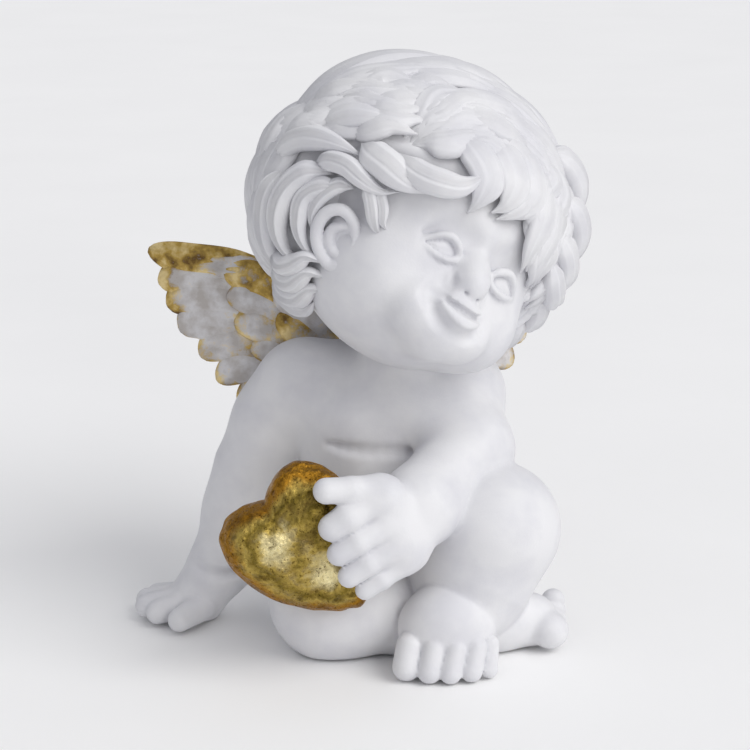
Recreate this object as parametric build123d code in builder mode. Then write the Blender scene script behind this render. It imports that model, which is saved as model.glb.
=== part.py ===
import os
from math import asin, cos, radians, sin

from build123d import *

# A seated cherub holding a heart, made of nine resin castings that are pinned with steel
# dowels, glued face to face, and stood on felt pads.
# Millimetres. +Z is up, the side that is looked at faces -Y, and the origin is the middle
# of the seat pad's underside. Left and right are the cherub's own: its right is -X.

os.makedirs("parts", exist_ok=True)

# Seat pad, small pads and the flat that they leave the castings standing on
pad_thickness = 1.2
pad_proud = 0.4             # how far a pad stands out of its recess
seat_pad_radius = 8.0
small_pad_radius = 3.0
pad_gap = 0.15              # around a pad in its recess

# Dowels
glue_gap = 0.1              # around a dowel in its hole
end_gap = 0.5               # between a dowel's end and the bottom of its hole
neck_dowel_radius = 3.0
neck_dowel_length = 20.0
limb_dowel_radius = 2.0
limb_dowel_length = 12.0
limb_dowel_sink = 1.6       # how far a limb dowel's middle lies inside the trunk's skin
wing_pin_radius = 1.0
wing_pin_length = 9.0
heart_pin_radius = 1.2
heart_pin_length = 8.0

# Torso
pelvis_radius = 16.5
pelvis_half_span = 5.5
pelvis_height = 13.5        # the middle of the pelvis above the floor
belly_radius = 16.0
chest_radius = 14.6
chest_half_span = 5.0
chest_height = 43.0
shoulder_height = 50.5
shoulder_half_span = 14.5
shoulder_radius = 8.6
neck_radius = 9.5
nape_radius = 13.0          # the slope from the neck down to the shoulders
neck_height = 60.5

# Head
head_half_span = 3.1        # the hair is a ball that is this much wider to each side
head_radius = 31.0
head_sink = 2.5             # how deep the neck enters the head
head_turn = 22.6            # degrees about its own upright axis, towards the left shoulder
head_lean = 19.0            # degrees over to the left
head_back = 18.0            # degrees back, which lifts the chin
face_radius = 21.0
cheek_radius = 11.5
cheek_spacing = 17.0        # between the middles of the two cheeks
chin_radius = 7.0
nose_radius = 2.4
brow_radius = 14.0
ear_spacing = 50.0          # between the middles of the two ears
ear_top_radius = 4.4
ear_lobe_radius = 3.0

# Arms: radii at the joints
upper_arm_radius = 8.8
elbow_radius = 8.2
right_wrist_radius = 6.4
left_wrist_radius = 8.0
palm_radius = 6.4
finger_radius = 3.1
fingertip_radius = 2.7
thumb_extra = 0.3           # how much thicker a thumb is than a finger
hand_flat = 1.9             # how far the leaning hand's palm is pressed flat

# Legs: radii at the joints
thigh_radius = 14.0
knee_radius = 12.7
calf_radius = 11.5
ankle_radius = 8.2
shin_radius = 6.6
foot_radius = 7.0
toe_radius = 2.5
toe_reach = Vector(0, 5, 1)  # from a toe's tip back into the foot
floor_flat = 1.3            # how far a rounded knee or foot is pressed flat
link_step = 0.97            # a limb's next link against the end of the last one

# Heart
lobe_radius = 7.4
lobe_spacing = 15.0         # between the middles of the two lobes
heart_length = 23.0         # from the middle of the lobes to the middle of the tip
heart_tip_radius = 3.2
heart_middle_radius = 7.5
heart_middle_share = 0.62   # where the fullest place lies, from the tip to the lobes

# Wings
wing_thickness = 5.0
wing_root_radius = 7.0
wing_root_height = 46.0
wing_span = 43.0            # from the root to the middle of the longest feather's tip
wing_rise = 29.5            # how far that tip stands above the root
right_wing_sweep = 7.0      # degrees back from the X axis
left_wing_sweep = 40.0

# Places that follow from the sizes
torso_middle = Vector(2, 3, chest_height)
pelvis_middle = Vector(1, 1.5, pelvis_height)
belly_middle = Vector(3, -1, 27)
right_shoulder = Vector(torso_middle.X - shoulder_half_span, 4, shoulder_height)
left_shoulder = Vector(torso_middle.X + shoulder_half_span, 3, shoulder_height)
neck_middle = Vector(6, -1, neck_height)
nape_foot = torso_middle + Vector(0, 0, 5)
head_middle = Vector(7.2, -0.3, neck_height - head_sink + head_radius)
head_frame = Plane(Location(head_middle, (-head_back, head_lean, head_turn)))
# Places on the head, from its middle: to its left, to its back and up
face_middle = Vector(4.5, -5.5, -5.0)
nose = face_middle + Vector(0, -face_radius - 4.2, -8.5)
cheeks = [face_middle + Vector(side * cheek_spacing / 2, -11.5, -11) for side in (-1, 1)]
chin = face_middle + Vector(0, -14, -16.5)
brow = face_middle + Vector(0, -9.0, 1.5)
ears = [face_middle + Vector(side * ear_spacing / 2, 1.5, -5) for side in (-1, 1)]
ear_drop = Vector(0, 0.5, -5.2)

hand_height = palm_radius - hand_flat
right_arm_joints = [
    (right_shoulder + Vector(-4, -1, 0.5), upper_arm_radius),
    (Vector(-28, 3, 33), elbow_radius),
    (Vector(-33, 1, 13), right_wrist_radius),
    (Vector(-38, 1, hand_height), palm_radius),
]
right_fingers = [
    (Vector(-41, -2, 4), Vector(-46.0, -4.5, 3.2)),
    (Vector(-42, 0, 4.2), Vector(-48.6, -1.0, 3.4)),
    (Vector(-42, 2, 4.2), Vector(-48.8, 2.8, 3.4)),
    (Vector(-41, 4, 4), Vector(-46.8, 6.4, 3.2)),
]
right_thumb = (Vector(-37, -4, 4), Vector(-41.0, -9.0, 3.2))

left_arm_joints = [
    (left_shoulder + Vector(3.4, -1.4, -2.0), upper_arm_radius + 0.6),
    (Vector(22.6, -13.2, 42), elbow_radius + 0.9),
    (Vector(8.5, -29, 34.5), left_wrist_radius),
    (Vector(3.5, -34, 31), palm_radius),
]
left_fingers = [
    (Vector(0.5, -38.5, 36), Vector(-9.0, -40.5, 34.3)),
    (Vector(2.0, -38.7, 31.6), Vector(-8.0, -41.0, 29.8)),
    (Vector(3.5, -38.0, 27.2), Vector(-5.0, -40.5, 25.2)),
    (Vector(4.0, -36.5, 23.0), Vector(-1.5, -38.0, 20.6)),
]
left_thumb = (Vector(0, -36, 39), Vector(-9.5, -39.5, 42))

right_leg_joints = [
    (Vector(-4, 2, 14.6), thigh_radius),
    (Vector(-8.5, -17.0, knee_radius - floor_flat), knee_radius),
    (Vector(8, -18.5, shin_radius), shin_radius),
    (Vector(24, -16.5, shin_radius), shin_radius),
    (Vector(32, -15.0, foot_radius - floor_flat), foot_radius - 0.9),
]
right_toes = [Vector(38.3, -17.5 + 2.4 * step, 3.4 + 1.1 * step) for step in range(4)]

left_leg_joints = [
    (Vector(8.5, 2.4, 15), thigh_radius),
    (Vector(24, -19, 27), knee_radius),
    (Vector(19.5, -19.5, 15), calf_radius),
    (Vector(14.5, -26.5, 10), ankle_radius),
    (Vector(14.2, -30.5, foot_radius - floor_flat - 0.7), foot_radius),
]
left_toes = [
    (Vector(6.6, -34.6, 4.6), toe_radius + 1.0),
    (Vector(11.3, -36.0, 3.8), toe_radius + 0.2),
    (Vector(15.2, -36.0, 3.6), toe_radius),
    (Vector(18.9, -35.0, 3.4), toe_radius - 0.1),
    (Vector(22.2, -33.2, 3.2), toe_radius - 0.3),
]

heart_tip = Vector(-2.8, -33, 16.8)
heart_up = Vector(-0.68, 0, 0.73).normalized()
heart_across = Vector(heart_up.Z, 0, -heart_up.X)
heart_top = heart_tip + heart_up * heart_length
heart_lobes = [heart_top + heart_across * (side * lobe_spacing / 2) for side in (-1, 1)]

# Feathers of one wing, root and tip in the wing's plane: along the span, then up. The tips
# fan downwards from the leading edge, and every one scales with the span and the rise.
feathers = [
    ((14, 25), 4.8, (1.00, 1.00), 1.7),
    ((14, 21), 5.0, (0.90, 0.71), 2.5),
    ((13, 16), 5.4, (0.85, 0.48), 2.7),
    ((10, 10), 5.8, (0.70, 0.25), 3.1),
    ((7, 4), 6.0, (0.56, -0.02), 3.2),
    ((4, 0), 5.0, (0.40, -0.18), 3.0),
]
right_wing_root = Vector(-5, 13.5, wing_root_height)
left_wing_root = Vector(8, 13.0, wing_root_height)


def outward_direction(sweep, side):
    return Vector(side * cos(radians(sweep)), sin(radians(sweep)), 0)


right_wing_outward = outward_direction(right_wing_sweep, -1)
left_wing_outward = outward_direction(left_wing_sweep, 1)

# Pin and dowel places: each plane lies near the glue line, with its Z along the pin


def joint_on_ball(middle, radius, direction, pin_direction):
    # A place just under the skin of one of the trunk's balls, found from the ball's middle.
    way = Vector(*direction).normalized()
    return Plane(middle + way * (radius - limb_dowel_sink), z_dir=pin_direction)


pelvis_right = pelvis_middle - Vector(pelvis_half_span, 0, 0)
pelvis_left = pelvis_middle + Vector(pelvis_half_span, 0, 0)
neck_joint = Plane(neck_middle)
limb_joints = {
    "right_shoulder": joint_on_ball(
        right_shoulder, shoulder_radius, (-0.9, -0.06, -0.42), (-0.85, -0.05, -0.5)
    ),
    "left_shoulder": joint_on_ball(left_shoulder, shoulder_radius, (0.4, -0.82, -0.42), (0.5, -0.8, -0.35)),
    "right_hip": joint_on_ball(pelvis_right, pelvis_radius, (-0.21, -0.97, -0.1), (-0.15, -1, 0)),
    "left_hip": joint_on_ball(pelvis_left, pelvis_radius, (0.76, -0.48, 0.6), (0.41, -0.86, 0.32)),
}
wing_joint_depths = ((-3.0, 6.9), (3.0, 5.6))    # along Z and outward from the wing's root
right_wing_joints = [
    Plane(right_wing_root + right_wing_outward * out + Vector(0, 0, up), z_dir=right_wing_outward)
    for up, out in wing_joint_depths
]
left_wing_joints = [
    Plane(left_wing_root + left_wing_outward * (out - 1.5) + Vector(0, 0, up), z_dir=left_wing_outward)
    for up, out in wing_joint_depths
]
heart_edge = (heart_lobes[1] + heart_tip) / 2 + heart_across * (lobe_radius + heart_tip_radius) / 2
heart_joint = Plane(heart_edge, z_dir=Vector(1, -0.1, 0.1))

seat_pad_place = Plane.XY
small_pad_places = [Plane((-38, 1, 0)), Plane((14.2, -30.5, 0)), Plane((-8.5, -17.0, 0))]
floor = Plane.XY.offset(pad_proud)


def ball(middle, radius):
    # A ball, added to the part that is open.
    with Locations(middle):
        Sphere(radius)


def wide_ball(middle, half_span, radius):
    # A ball drawn out sideways.
    reach = Vector(half_span, 0, 0)
    round_cone(middle - reach, middle + reach, radius, radius)


def round_cone(start, end, start_radius, end_radius):
    # The skin stretched over two balls: an arc, the tangent line and an arc, turned about
    # the line through both middles.
    along = end - start
    length = along.length
    lean = asin((start_radius - end_radius) / length)
    axis = along.normalized()
    side = axis.cross(Vector(0, 0, 1)) if abs(axis.Z) < 0.9 else axis.cross(Vector(1, 0, 0))

    def around(centre, radius, angle):
        return (centre + radius * sin(angle), radius * cos(angle))

    back, front = -radians(90), radians(90)
    with BuildSketch(Plane(start, x_dir=axis, z_dir=side)) as half:
        with BuildLine():
            ThreePointArc(
                around(0, start_radius, back),
                around(0, start_radius, (back + lean) / 2),
                around(0, start_radius, lean),
            )
            Line(around(0, start_radius, lean), around(length, end_radius, lean))
            ThreePointArc(
                around(length, end_radius, lean),
                around(length, end_radius, (lean + front) / 2),
                around(length, end_radius, front),
            )
            Line((length + end_radius, 0), (-start_radius, 0))
        make_face()
    revolve(half.sketch, axis=Axis(start, axis))


def limb(joints):
    # A chain of round cones through (middle, radius) pairs. Each link starts a little
    # thinner than the last one ended, so that no two skins lie on each other.
    for index, ((start, start_radius), (end, end_radius)) in enumerate(zip(joints, joints[1:])):
        round_cone(start, end, start_radius * (link_step if index else 1), end_radius)


def fingers(pairs, root_radius, tip_radius):
    for root, tip in pairs:
        round_cone(root, tip, root_radius, tip_radius)


def holes(planes, radius, length):
    # Dowel holes through a glue line: the dowel plus the glue around it and at its ends.
    with Locations(*planes):
        Cylinder(radius + glue_gap, length + 2 * end_gap, mode=Mode.SUBTRACT)


def pad_recess(place, radius):
    # The shallow pocket that a felt pad is stuck in.
    with Locations(place.offset(pad_proud)):
        Cylinder(
            radius + pad_gap,
            pad_thickness - pad_proud,
            align=(Align.CENTER, Align.CENTER, Align.MIN),
            mode=Mode.SUBTRACT,
        )


def stand_on_floor():
    # Takes away what reaches below the flat underside of the castings.
    split(bisect_by=floor, keep=Keep.TOP)


def dowels(planes, radius, length):
    with Locations(*planes):
        Cylinder(radius, length)


# The trunk: pelvis, belly, chest, shoulders and the short neck that the head sits on.
with BuildPart() as torso:
    wide_ball(pelvis_middle, pelvis_half_span, pelvis_radius)
    ball(belly_middle, belly_radius)
    wide_ball(torso_middle, chest_half_span, chest_radius)
    round_cone(right_shoulder, left_shoulder, shoulder_radius, shoulder_radius)
    round_cone(nape_foot, neck_middle - Vector(0, 0, neck_radius), nape_radius, neck_radius)
    with BuildSketch(Plane(neck_middle)):
        Circle(neck_radius)
    extrude(amount=-(neck_height - chest_height))
    stand_on_floor()
    pad_recess(seat_pad_place, seat_pad_radius)
    holes([neck_joint], neck_dowel_radius, neck_dowel_length)
    holes(limb_joints.values(), limb_dowel_radius, limb_dowel_length)
    holes(right_wing_joints + left_wing_joints, wing_pin_radius, wing_pin_length)
torso.part.label = "torso"
export_step(torso.part, "parts/torso.step")

# The head: the ball of hair, the face with its cheeks, chin and nose, and two ears.
with BuildPart() as head:
    wide_ball(head_middle, head_half_span, head_radius)
    for middle, radius in (
        (face_middle, face_radius),
        (brow, brow_radius),
        (cheeks[0], cheek_radius),
        (cheeks[1], cheek_radius),
        (chin, chin_radius),
        (nose, nose_radius),
    ):
        ball(head_frame.from_local_coords(middle), radius)
    for ear in ears:
        top = head_frame.from_local_coords(ear)
        lobe = head_frame.from_local_coords(ear + ear_drop)
        round_cone(top, lobe, ear_top_radius, ear_lobe_radius)
    add(torso.part, mode=Mode.SUBTRACT)
    holes([neck_joint], neck_dowel_radius, neck_dowel_length)
head.part.label = "head"
export_step(head.part, "parts/head.step")

# The leg that lies on the floor, its knee forward and its foot crossed under the other leg.
with BuildPart() as right_leg:
    limb(right_leg_joints)
    for toe in right_toes:
        ball(toe, toe_radius)
    stand_on_floor()
    add(torso.part, mode=Mode.SUBTRACT)
    pad_recess(seat_pad_place, seat_pad_radius)
    pad_recess(small_pad_places[2], small_pad_radius)
    holes([limb_joints["right_hip"]], limb_dowel_radius, limb_dowel_length)
right_leg.part.label = "right_leg"
export_step(right_leg.part, "parts/right_leg.step")

# The leg with its knee up and its foot flat in front.
with BuildPart() as left_leg:
    limb(left_leg_joints)
    for toe, radius in left_toes:
        round_cone(toe + toe_reach, toe, radius, radius)
    stand_on_floor()
    add(torso.part, mode=Mode.SUBTRACT)
    add(right_leg.part, mode=Mode.SUBTRACT)
    pad_recess(seat_pad_place, seat_pad_radius)
    pad_recess(small_pad_places[1], small_pad_radius)
    holes([limb_joints["left_hip"]], limb_dowel_radius, limb_dowel_length)
left_leg.part.label = "left_leg"
export_step(left_leg.part, "parts/left_leg.step")

# The heart: two lobes that run together to the tip, and a full middle.
with BuildPart() as heart:
    for lobe in heart_lobes:
        round_cone(lobe, heart_tip, lobe_radius, heart_tip_radius)
    ball(heart_tip + heart_up * (heart_length * heart_middle_share), heart_middle_radius)
    add(torso.part, mode=Mode.SUBTRACT)
    add(right_leg.part, mode=Mode.SUBTRACT)
    holes([heart_joint], heart_pin_radius, heart_pin_length)
heart.part.label = "heart"
export_step(heart.part, "parts/heart.step")

# The arm that the cherub leans on, its hand flat on the floor.
with BuildPart() as right_arm:
    limb(right_arm_joints)
    fingers(right_fingers, finger_radius, fingertip_radius)
    fingers([right_thumb], finger_radius, fingertip_radius)
    stand_on_floor()
    add(torso.part, mode=Mode.SUBTRACT)
    add(head.part, mode=Mode.SUBTRACT)
    add(right_leg.part, mode=Mode.SUBTRACT)
    pad_recess(small_pad_places[0], small_pad_radius)
    holes([limb_joints["right_shoulder"]], limb_dowel_radius, limb_dowel_length)
right_arm.part.label = "right_arm"
export_step(right_arm.part, "parts/right_arm.step")

# The arm that crosses the belly, its fingers closed over the edge of the heart.
with BuildPart() as left_arm:
    limb(left_arm_joints)
    fingers(left_fingers, finger_radius, fingertip_radius)
    fingers([left_thumb], finger_radius + thumb_extra, fingertip_radius + thumb_extra)
    for other in (torso, head, left_leg, right_leg, heart):
        add(other.part, mode=Mode.SUBTRACT)
    holes([limb_joints["left_shoulder"]], limb_dowel_radius, limb_dowel_length)
    holes([heart_joint], heart_pin_radius, heart_pin_length)
left_arm.part.label = "left_arm"
export_step(left_arm.part, "parts/left_arm.step")


def wing_fan(root, outward):
    # One wing: a fan of tapered feathers cut from a slab that stands on edge.
    plane = Plane(root, x_dir=outward, z_dir=outward.cross(Vector(0, 0, 1)))
    fan = [
        (quill, quill_radius, (along * wing_span, up * wing_rise), tip_radius)
        for quill, quill_radius, (along, up), tip_radius in feathers
    ]
    leading_quill, leading_radius = feathers[0][:2]
    fan.append(((0, 0), wing_root_radius, leading_quill, leading_radius))
    for quill, quill_radius, tip, tip_radius in fan:
        with BuildSketch(plane) as blade:
            with Locations(quill):
                Circle(quill_radius)
            with Locations(tip):
                Circle(tip_radius)
            make_hull()
        extrude(blade.sketch, amount=wing_thickness / 2, both=True)


with BuildPart() as right_wing:
    wing_fan(right_wing_root, right_wing_outward)
    for other in (torso, head, right_arm):
        add(other.part, mode=Mode.SUBTRACT)
    holes(right_wing_joints, wing_pin_radius, wing_pin_length)
right_wing.part.label = "right_wing"
export_step(right_wing.part, "parts/right_wing.step")

with BuildPart() as left_wing:
    wing_fan(left_wing_root, left_wing_outward)
    for other in (torso, head, left_arm, right_wing):
        add(other.part, mode=Mode.SUBTRACT)
    holes(left_wing_joints, wing_pin_radius, wing_pin_length)
left_wing.part.label = "left_wing"
export_step(left_wing.part, "parts/left_wing.step")

# Steel dowels and pins
with BuildPart() as neck_dowel:
    dowels([neck_joint], neck_dowel_radius, neck_dowel_length)
neck_dowel.part.label = "neck_dowel"
export_step(neck_dowel.part, "parts/neck_dowel.step")

with BuildPart() as limb_dowels:
    dowels(limb_joints.values(), limb_dowel_radius, limb_dowel_length)
limb_dowels.part.label = "limb_dowels"
export_step(limb_dowels.part, "parts/limb_dowels.step")

with BuildPart() as wing_pins:
    dowels(right_wing_joints + left_wing_joints, wing_pin_radius, wing_pin_length)
wing_pins.part.label = "wing_pins"
export_step(wing_pins.part, "parts/wing_pins.step")

with BuildPart() as heart_pin:
    dowels([heart_joint], heart_pin_radius, heart_pin_length)
heart_pin.part.label = "heart_pin"
export_step(heart_pin.part, "parts/heart_pin.step")

# Felt pads, stuck into their recesses
with BuildPart() as seat_pad:
    with BuildSketch(seat_pad_place):
        Circle(seat_pad_radius)
    extrude(amount=pad_thickness)
seat_pad.part.label = "seat_pad"
export_step(seat_pad.part, "parts/seat_pad.step")

with BuildPart() as limb_pads:
    for place in small_pad_places:
        with BuildSketch(place):
            Circle(small_pad_radius)
        extrude(amount=pad_thickness)
limb_pads.part.label = "limb_pads"
export_step(limb_pads.part, "parts/limb_pads.step")
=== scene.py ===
import bpy
import numpy as np
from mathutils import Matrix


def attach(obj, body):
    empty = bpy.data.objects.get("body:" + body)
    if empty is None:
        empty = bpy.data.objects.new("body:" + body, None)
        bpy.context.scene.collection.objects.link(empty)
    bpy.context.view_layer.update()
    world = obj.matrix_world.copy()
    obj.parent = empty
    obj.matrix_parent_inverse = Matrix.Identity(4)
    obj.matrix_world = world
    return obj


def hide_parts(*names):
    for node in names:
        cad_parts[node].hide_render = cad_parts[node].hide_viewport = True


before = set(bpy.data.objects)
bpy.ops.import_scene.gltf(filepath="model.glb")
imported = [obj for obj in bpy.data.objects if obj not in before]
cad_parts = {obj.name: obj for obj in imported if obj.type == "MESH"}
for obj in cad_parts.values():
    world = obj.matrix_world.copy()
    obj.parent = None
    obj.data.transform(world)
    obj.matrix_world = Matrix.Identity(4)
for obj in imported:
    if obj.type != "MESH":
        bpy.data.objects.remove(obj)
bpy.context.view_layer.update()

import openvdb
from mathutils import Vector

mm = 0.001
rng = np.random.default_rng(11)


def makeObject(name, points, faces, nodes, material):
    # a smooth-shaded mesh at the origin; faces is a list of whole arrays, of quads or of triangles
    mesh = bpy.data.meshes.new(name)
    points = np.asarray(points, np.float32).reshape(-1, 3)
    faces = [np.asarray(f, np.int32) for f in faces]
    corners = np.concatenate([f.ravel() for f in faces])
    sides = np.concatenate([np.full(len(f), f.shape[1], np.int32) for f in faces])
    mesh.vertices.add(len(points))
    mesh.vertices.foreach_set("co", points.ravel())
    mesh.loops.add(len(corners))
    mesh.loops.foreach_set("vertex_index", corners)
    mesh.polygons.add(len(sides))
    mesh.polygons.foreach_set("loop_start", np.concatenate([[0], np.cumsum(sides)[:-1]]).astype(np.int32))
    mesh.update(calc_edges=True)
    mesh.validate()
    mesh.polygons.foreach_set("use_smooth", np.ones(len(mesh.polygons), bool))
    mesh.materials.append(material)
    obj = bpy.data.objects.new(name, mesh)
    bpy.context.scene.collection.objects.link(obj)
    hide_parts(*nodes)
    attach(obj, "root")
    print(name, len(points), "points")
    return obj


def tubeFaces(rings, around, first=0):
    # a tube closed by a pole at each end; its points are pole, rings, pole
    i, j = np.meshgrid(np.arange(rings - 1), np.arange(around), indexing="ij")
    a = first + 1 + i * around + j
    b = first + 1 + i * around + (j + 1) % around
    quads = np.stack([a, b, b + around, a + around], -1).reshape(-1, 4)
    j = np.arange(around)
    k = (j + 1) % around
    start = np.stack([np.full(around, first), first + 1 + k, first + 1 + j], -1)
    last = first + 1 + (rings - 1) * around
    end = np.stack([np.full(around, last + around), last + j, last + k], -1)
    return quads, np.concatenate([start, end])


def ribbon(path, outward, width, height, strands=0, groove=0.0, belly=0.6, around=20, phase=0.0):
    # a flat tapering tube carried along the path: across by width, up by height, and belly of that below;
    # its upper side is cut by strands, each a cosine across the width
    path, outward = np.asarray(path, float), np.asarray(outward, float)
    ahead = np.gradient(path, axis=0)
    ahead /= np.linalg.norm(ahead, axis=1, keepdims=True)
    across = np.cross(ahead, outward)
    across /= np.linalg.norm(across, axis=1, keepdims=True)
    above = np.cross(across, ahead)
    turn = np.linspace(0, 2 * np.pi, around, endpoint=False)
    c, s = np.cos(turn), np.sin(turn)
    cut = 1 - groove * (0.5 - 0.5 * np.cos(np.pi * strands * (c + 1) + phase)) * (s > 0) * np.abs(s) ** 0.5
    lift = np.where(s > 0, s, belly * s) * cut
    rings = (path[:, None] + across[:, None] * (c[None, :, None] * width[:, None, None] / 2)
             + above[:, None] * (lift[None, :, None] * height[:, None, None]))
    return np.concatenate([path[:1], rings.reshape(-1, 3), path[-1:]]), len(path), around


def makeRibbons(name, parts, nodes, material):
    # many ribbons in one mesh
    points, faces, first = [], [], 0
    for part, rings, around in parts:
        quads, triangles = tubeFaces(rings, around, first)
        points.append(part)
        faces += [quads[:, ::-1], triangles[:, ::-1]]      # a ribbon's rings run the other way round
        first += len(part)
    return makeObject(name, np.concatenate(points) * mm, faces, nodes, material)


def turned(back, lean, turn):
    # columns are left, back and up of a head that is turned, then leaned over, then leaned back
    a, b, c = np.radians([-back, lean, turn])
    rx = np.array([[1, 0, 0], [0, np.cos(a), -np.sin(a)], [0, np.sin(a), np.cos(a)]])
    ry = np.array([[np.cos(b), 0, np.sin(b)], [0, 1, 0], [-np.sin(b), 0, np.cos(b)]])
    rz = np.array([[np.cos(c), -np.sin(c), 0], [np.sin(c), np.cos(c), 0], [0, 0, 1]])
    return rx @ ry @ rz


def smoothStep(low, high, x):
    # nought below low, one above high, and between them three t squared less two t cubed
    t = np.clip((x - low) / (high - low), 0, 1)
    return t * t * (3 - 2 * t)


def smoothCurve(points, count):
    # Catmull-Rom through the points, evenly in parameter
    p = np.asarray(points, float)
    p = np.vstack([2 * p[0] - p[1], p, 2 * p[-1] - p[-2]])
    t = np.linspace(0, len(p) - 3 - 1e-9, count)
    i = t.astype(int)
    f = (t - i)[:, None]
    a, b, c, d = p[i], p[i + 1], p[i + 2], p[i + 3]
    return 0.5 * (2 * b + (c - a) * f + (2 * a - 5 * b + 4 * c - d) * f**2 + (3 * b - a - 3 * c + d) * f**3)


class Clay:
    # a block of points, each holding its distance to the nearest skin, negative inside.
    # All sizes are in mm; low and high are the block's corners
    def __init__(self, low, high, step):
        self.low, self.step = np.array(low, float), step
        self.count = np.ceil((np.array(high, float) - self.low) / step).astype(int) + 1
        self.field = np.full(self.count, 40.0, np.float32)

    def part(self, low, high, margin):
        lo = np.floor((np.minimum(low, high) - margin - self.low) / self.step).astype(int)
        hi = np.ceil((np.maximum(low, high) + margin - self.low) / self.step).astype(int) + 1
        lo, hi = np.clip(lo, 0, self.count), np.clip(hi, 0, self.count)
        cut = tuple(slice(a, b) for a, b in zip(lo, hi))
        axes = [self.low[k] + self.step * np.arange(lo[k], hi[k], dtype=np.float32) for k in range(3)]
        return cut, np.meshgrid(*axes, indexing="ij", sparse=True)

    def join(self, cut, distance, soft):
        # smooth union: the lesser of the two, rounded off over the width soft
        old = self.field[cut]
        near = np.maximum(soft - np.abs(old - distance), 0) / soft
        self.field[cut] = np.minimum(old, distance) - near * near * soft / 4

    def carve(self, cut, distance, soft):
        # smooth subtraction
        old, distance = self.field[cut], -distance
        near = np.maximum(soft - np.abs(old - distance), 0) / soft
        self.field[cut] = np.maximum(old, distance) + near * near * soft / 4

    def cone(self, start, end, r0, r1, soft=3.0, carve=False):
        # distance to a line from start to end, less a radius that goes evenly from r0 to r1
        a, b = np.array(start, float), np.array(end, float)
        cut, (x, y, z) = self.part(np.minimum(a, b), np.maximum(a, b), max(r0, r1) + soft + 3)
        d = b - a
        px, py, pz = x - a[0], y - a[1], z - a[2]
        t = np.clip((px * d[0] + py * d[1] + pz * d[2]) / (d @ d), 0, 1)
        gap = np.sqrt((px - t * d[0]) ** 2 + (py - t * d[1]) ** 2 + (pz - t * d[2]) ** 2)
        (self.carve if carve else self.join)(cut, gap - (r0 + t * (r1 - r0)), soft)

    def ball(self, middle, radius, soft=3.0, carve=False):
        m = np.array(middle, float)
        cut, (x, y, z) = self.part(m, m, radius + soft + 3)
        gap = np.sqrt((x - m[0]) ** 2 + (y - m[1]) ** 2 + (z - m[2]) ** 2) - radius
        (self.carve if carve else self.join)(cut, gap, soft)

    def egg(self, middle, radii, axes=None, soft=3.0, carve=False):
        # an ellipsoid: with q the point over the radii, |q| (|q| - 1) / |q over the radii again|
        m, r = np.array(middle, float), np.array(radii, float)
        axes = np.eye(3) if axes is None else axes
        cut, (x, y, z) = self.part(m, m, r.max() + soft + 3)
        x, y, z = x - m[0], y - m[1], z - m[2]
        q = [(x * axes[0, k] + y * axes[1, k] + z * axes[2, k]) / r[k] for k in range(3)]
        whole = np.sqrt(sum(v * v for v in q))
        steep = np.sqrt(sum((v / s) ** 2 for v, s in zip(q, r))) + 1e-6
        (self.carve if carve else self.join)(cut, whole * (whole - 1) / steep, soft)

    def chain(self, points, radii, soft=1.0, carve=False, count=9):
        # a smooth line of cones through the points
        path = smoothCurve(points, count)
        size = np.interp(np.linspace(0, 1, count), np.linspace(0, 1, len(radii)), radii)
        for k in range(count - 1):
            self.cone(path[k], path[k + 1], size[k], size[k + 1], soft, carve)

    def skin(self, field=None):
        # the surface where the distance is nought, as points in metres and quads
        field = self.field if field is None else field
        grid = openvdb.FloatGrid(40.0)
        grid.copyFromArray(np.ascontiguousarray(field, np.float32), tolerance=0)
        points, quads = grid.convertToQuads(0.0)
        return (points * self.step + self.low) * mm, quads


def newMaterial(name):
    material = bpy.data.materials.new(name)
    material.use_nodes = True
    nodes, links = material.node_tree.nodes, material.node_tree.links
    return material, nodes, links, nodes["Principled BSDF"]


def noiseNode(nodes, links, scale, detail=4.0, rough=0.55):
    place = nodes.new("ShaderNodeTexCoord")
    noise = nodes.new("ShaderNodeTexNoise")
    noise.inputs["Scale"].default_value = scale
    noise.inputs["Detail"].default_value = detail
    noise.inputs["Roughness"].default_value = rough
    links.new(place.outputs["Object"], noise.inputs["Vector"])
    return noise


def rampNode(nodes, links, source, stops):
    ramp = nodes.new("ShaderNodeValToRGB")
    ramp.color_ramp.elements[0].position, ramp.color_ramp.elements[1].position = stops[0][0], stops[-1][0]
    ramp.color_ramp.elements[0].color = (*stops[0][1], 1)
    ramp.color_ramp.elements[1].color = (*stops[-1][1], 1)
    for position, colour in stops[1:-1]:
        ramp.color_ramp.elements.new(position).color = (*colour, 1)
    links.new(source, ramp.inputs["Fac"])
    return ramp


def mixColour(nodes, links, how, amount, first, second):
    mix = nodes.new("ShaderNodeMix")
    mix.data_type, mix.blend_type = "RGBA", how
    for socket, value in (("Factor", amount), ("A", first), ("B", second)):
        target = [s for s in mix.inputs if s.name == socket and (s.type == "RGBA" or socket == "Factor")][0]
        if hasattr(value, "links"):
            links.new(value, target)
        elif socket == "Factor":
            target.default_value = value
        else:
            target.default_value = (*value, 1)
    return [s for s in mix.outputs if s.type == "RGBA"][0]


def bumpNode(nodes, links, shader, height, strength, depth, under=None):
    bump = nodes.new("ShaderNodeBump")
    bump.inputs["Strength"].default_value = strength
    bump.inputs["Distance"].default_value = depth
    links.new(height, bump.inputs["Height"])
    if under:
        links.new(under, bump.inputs["Normal"])
    links.new(bump.outputs["Normal"], shader.inputs["Normal"])
    return bump.outputs["Normal"]


# hollow is the grey of the painted shade in creases and hollows; light and shade are the two ends of a random
# cloudiness
resin = {"light": (0.74, 0.74, 0.76), "shade": (0.66, 0.66, 0.695), "hollow": (0.55, 0.55, 0.60),
         "roughness": 0.52, "grain": 2600.0}


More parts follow.
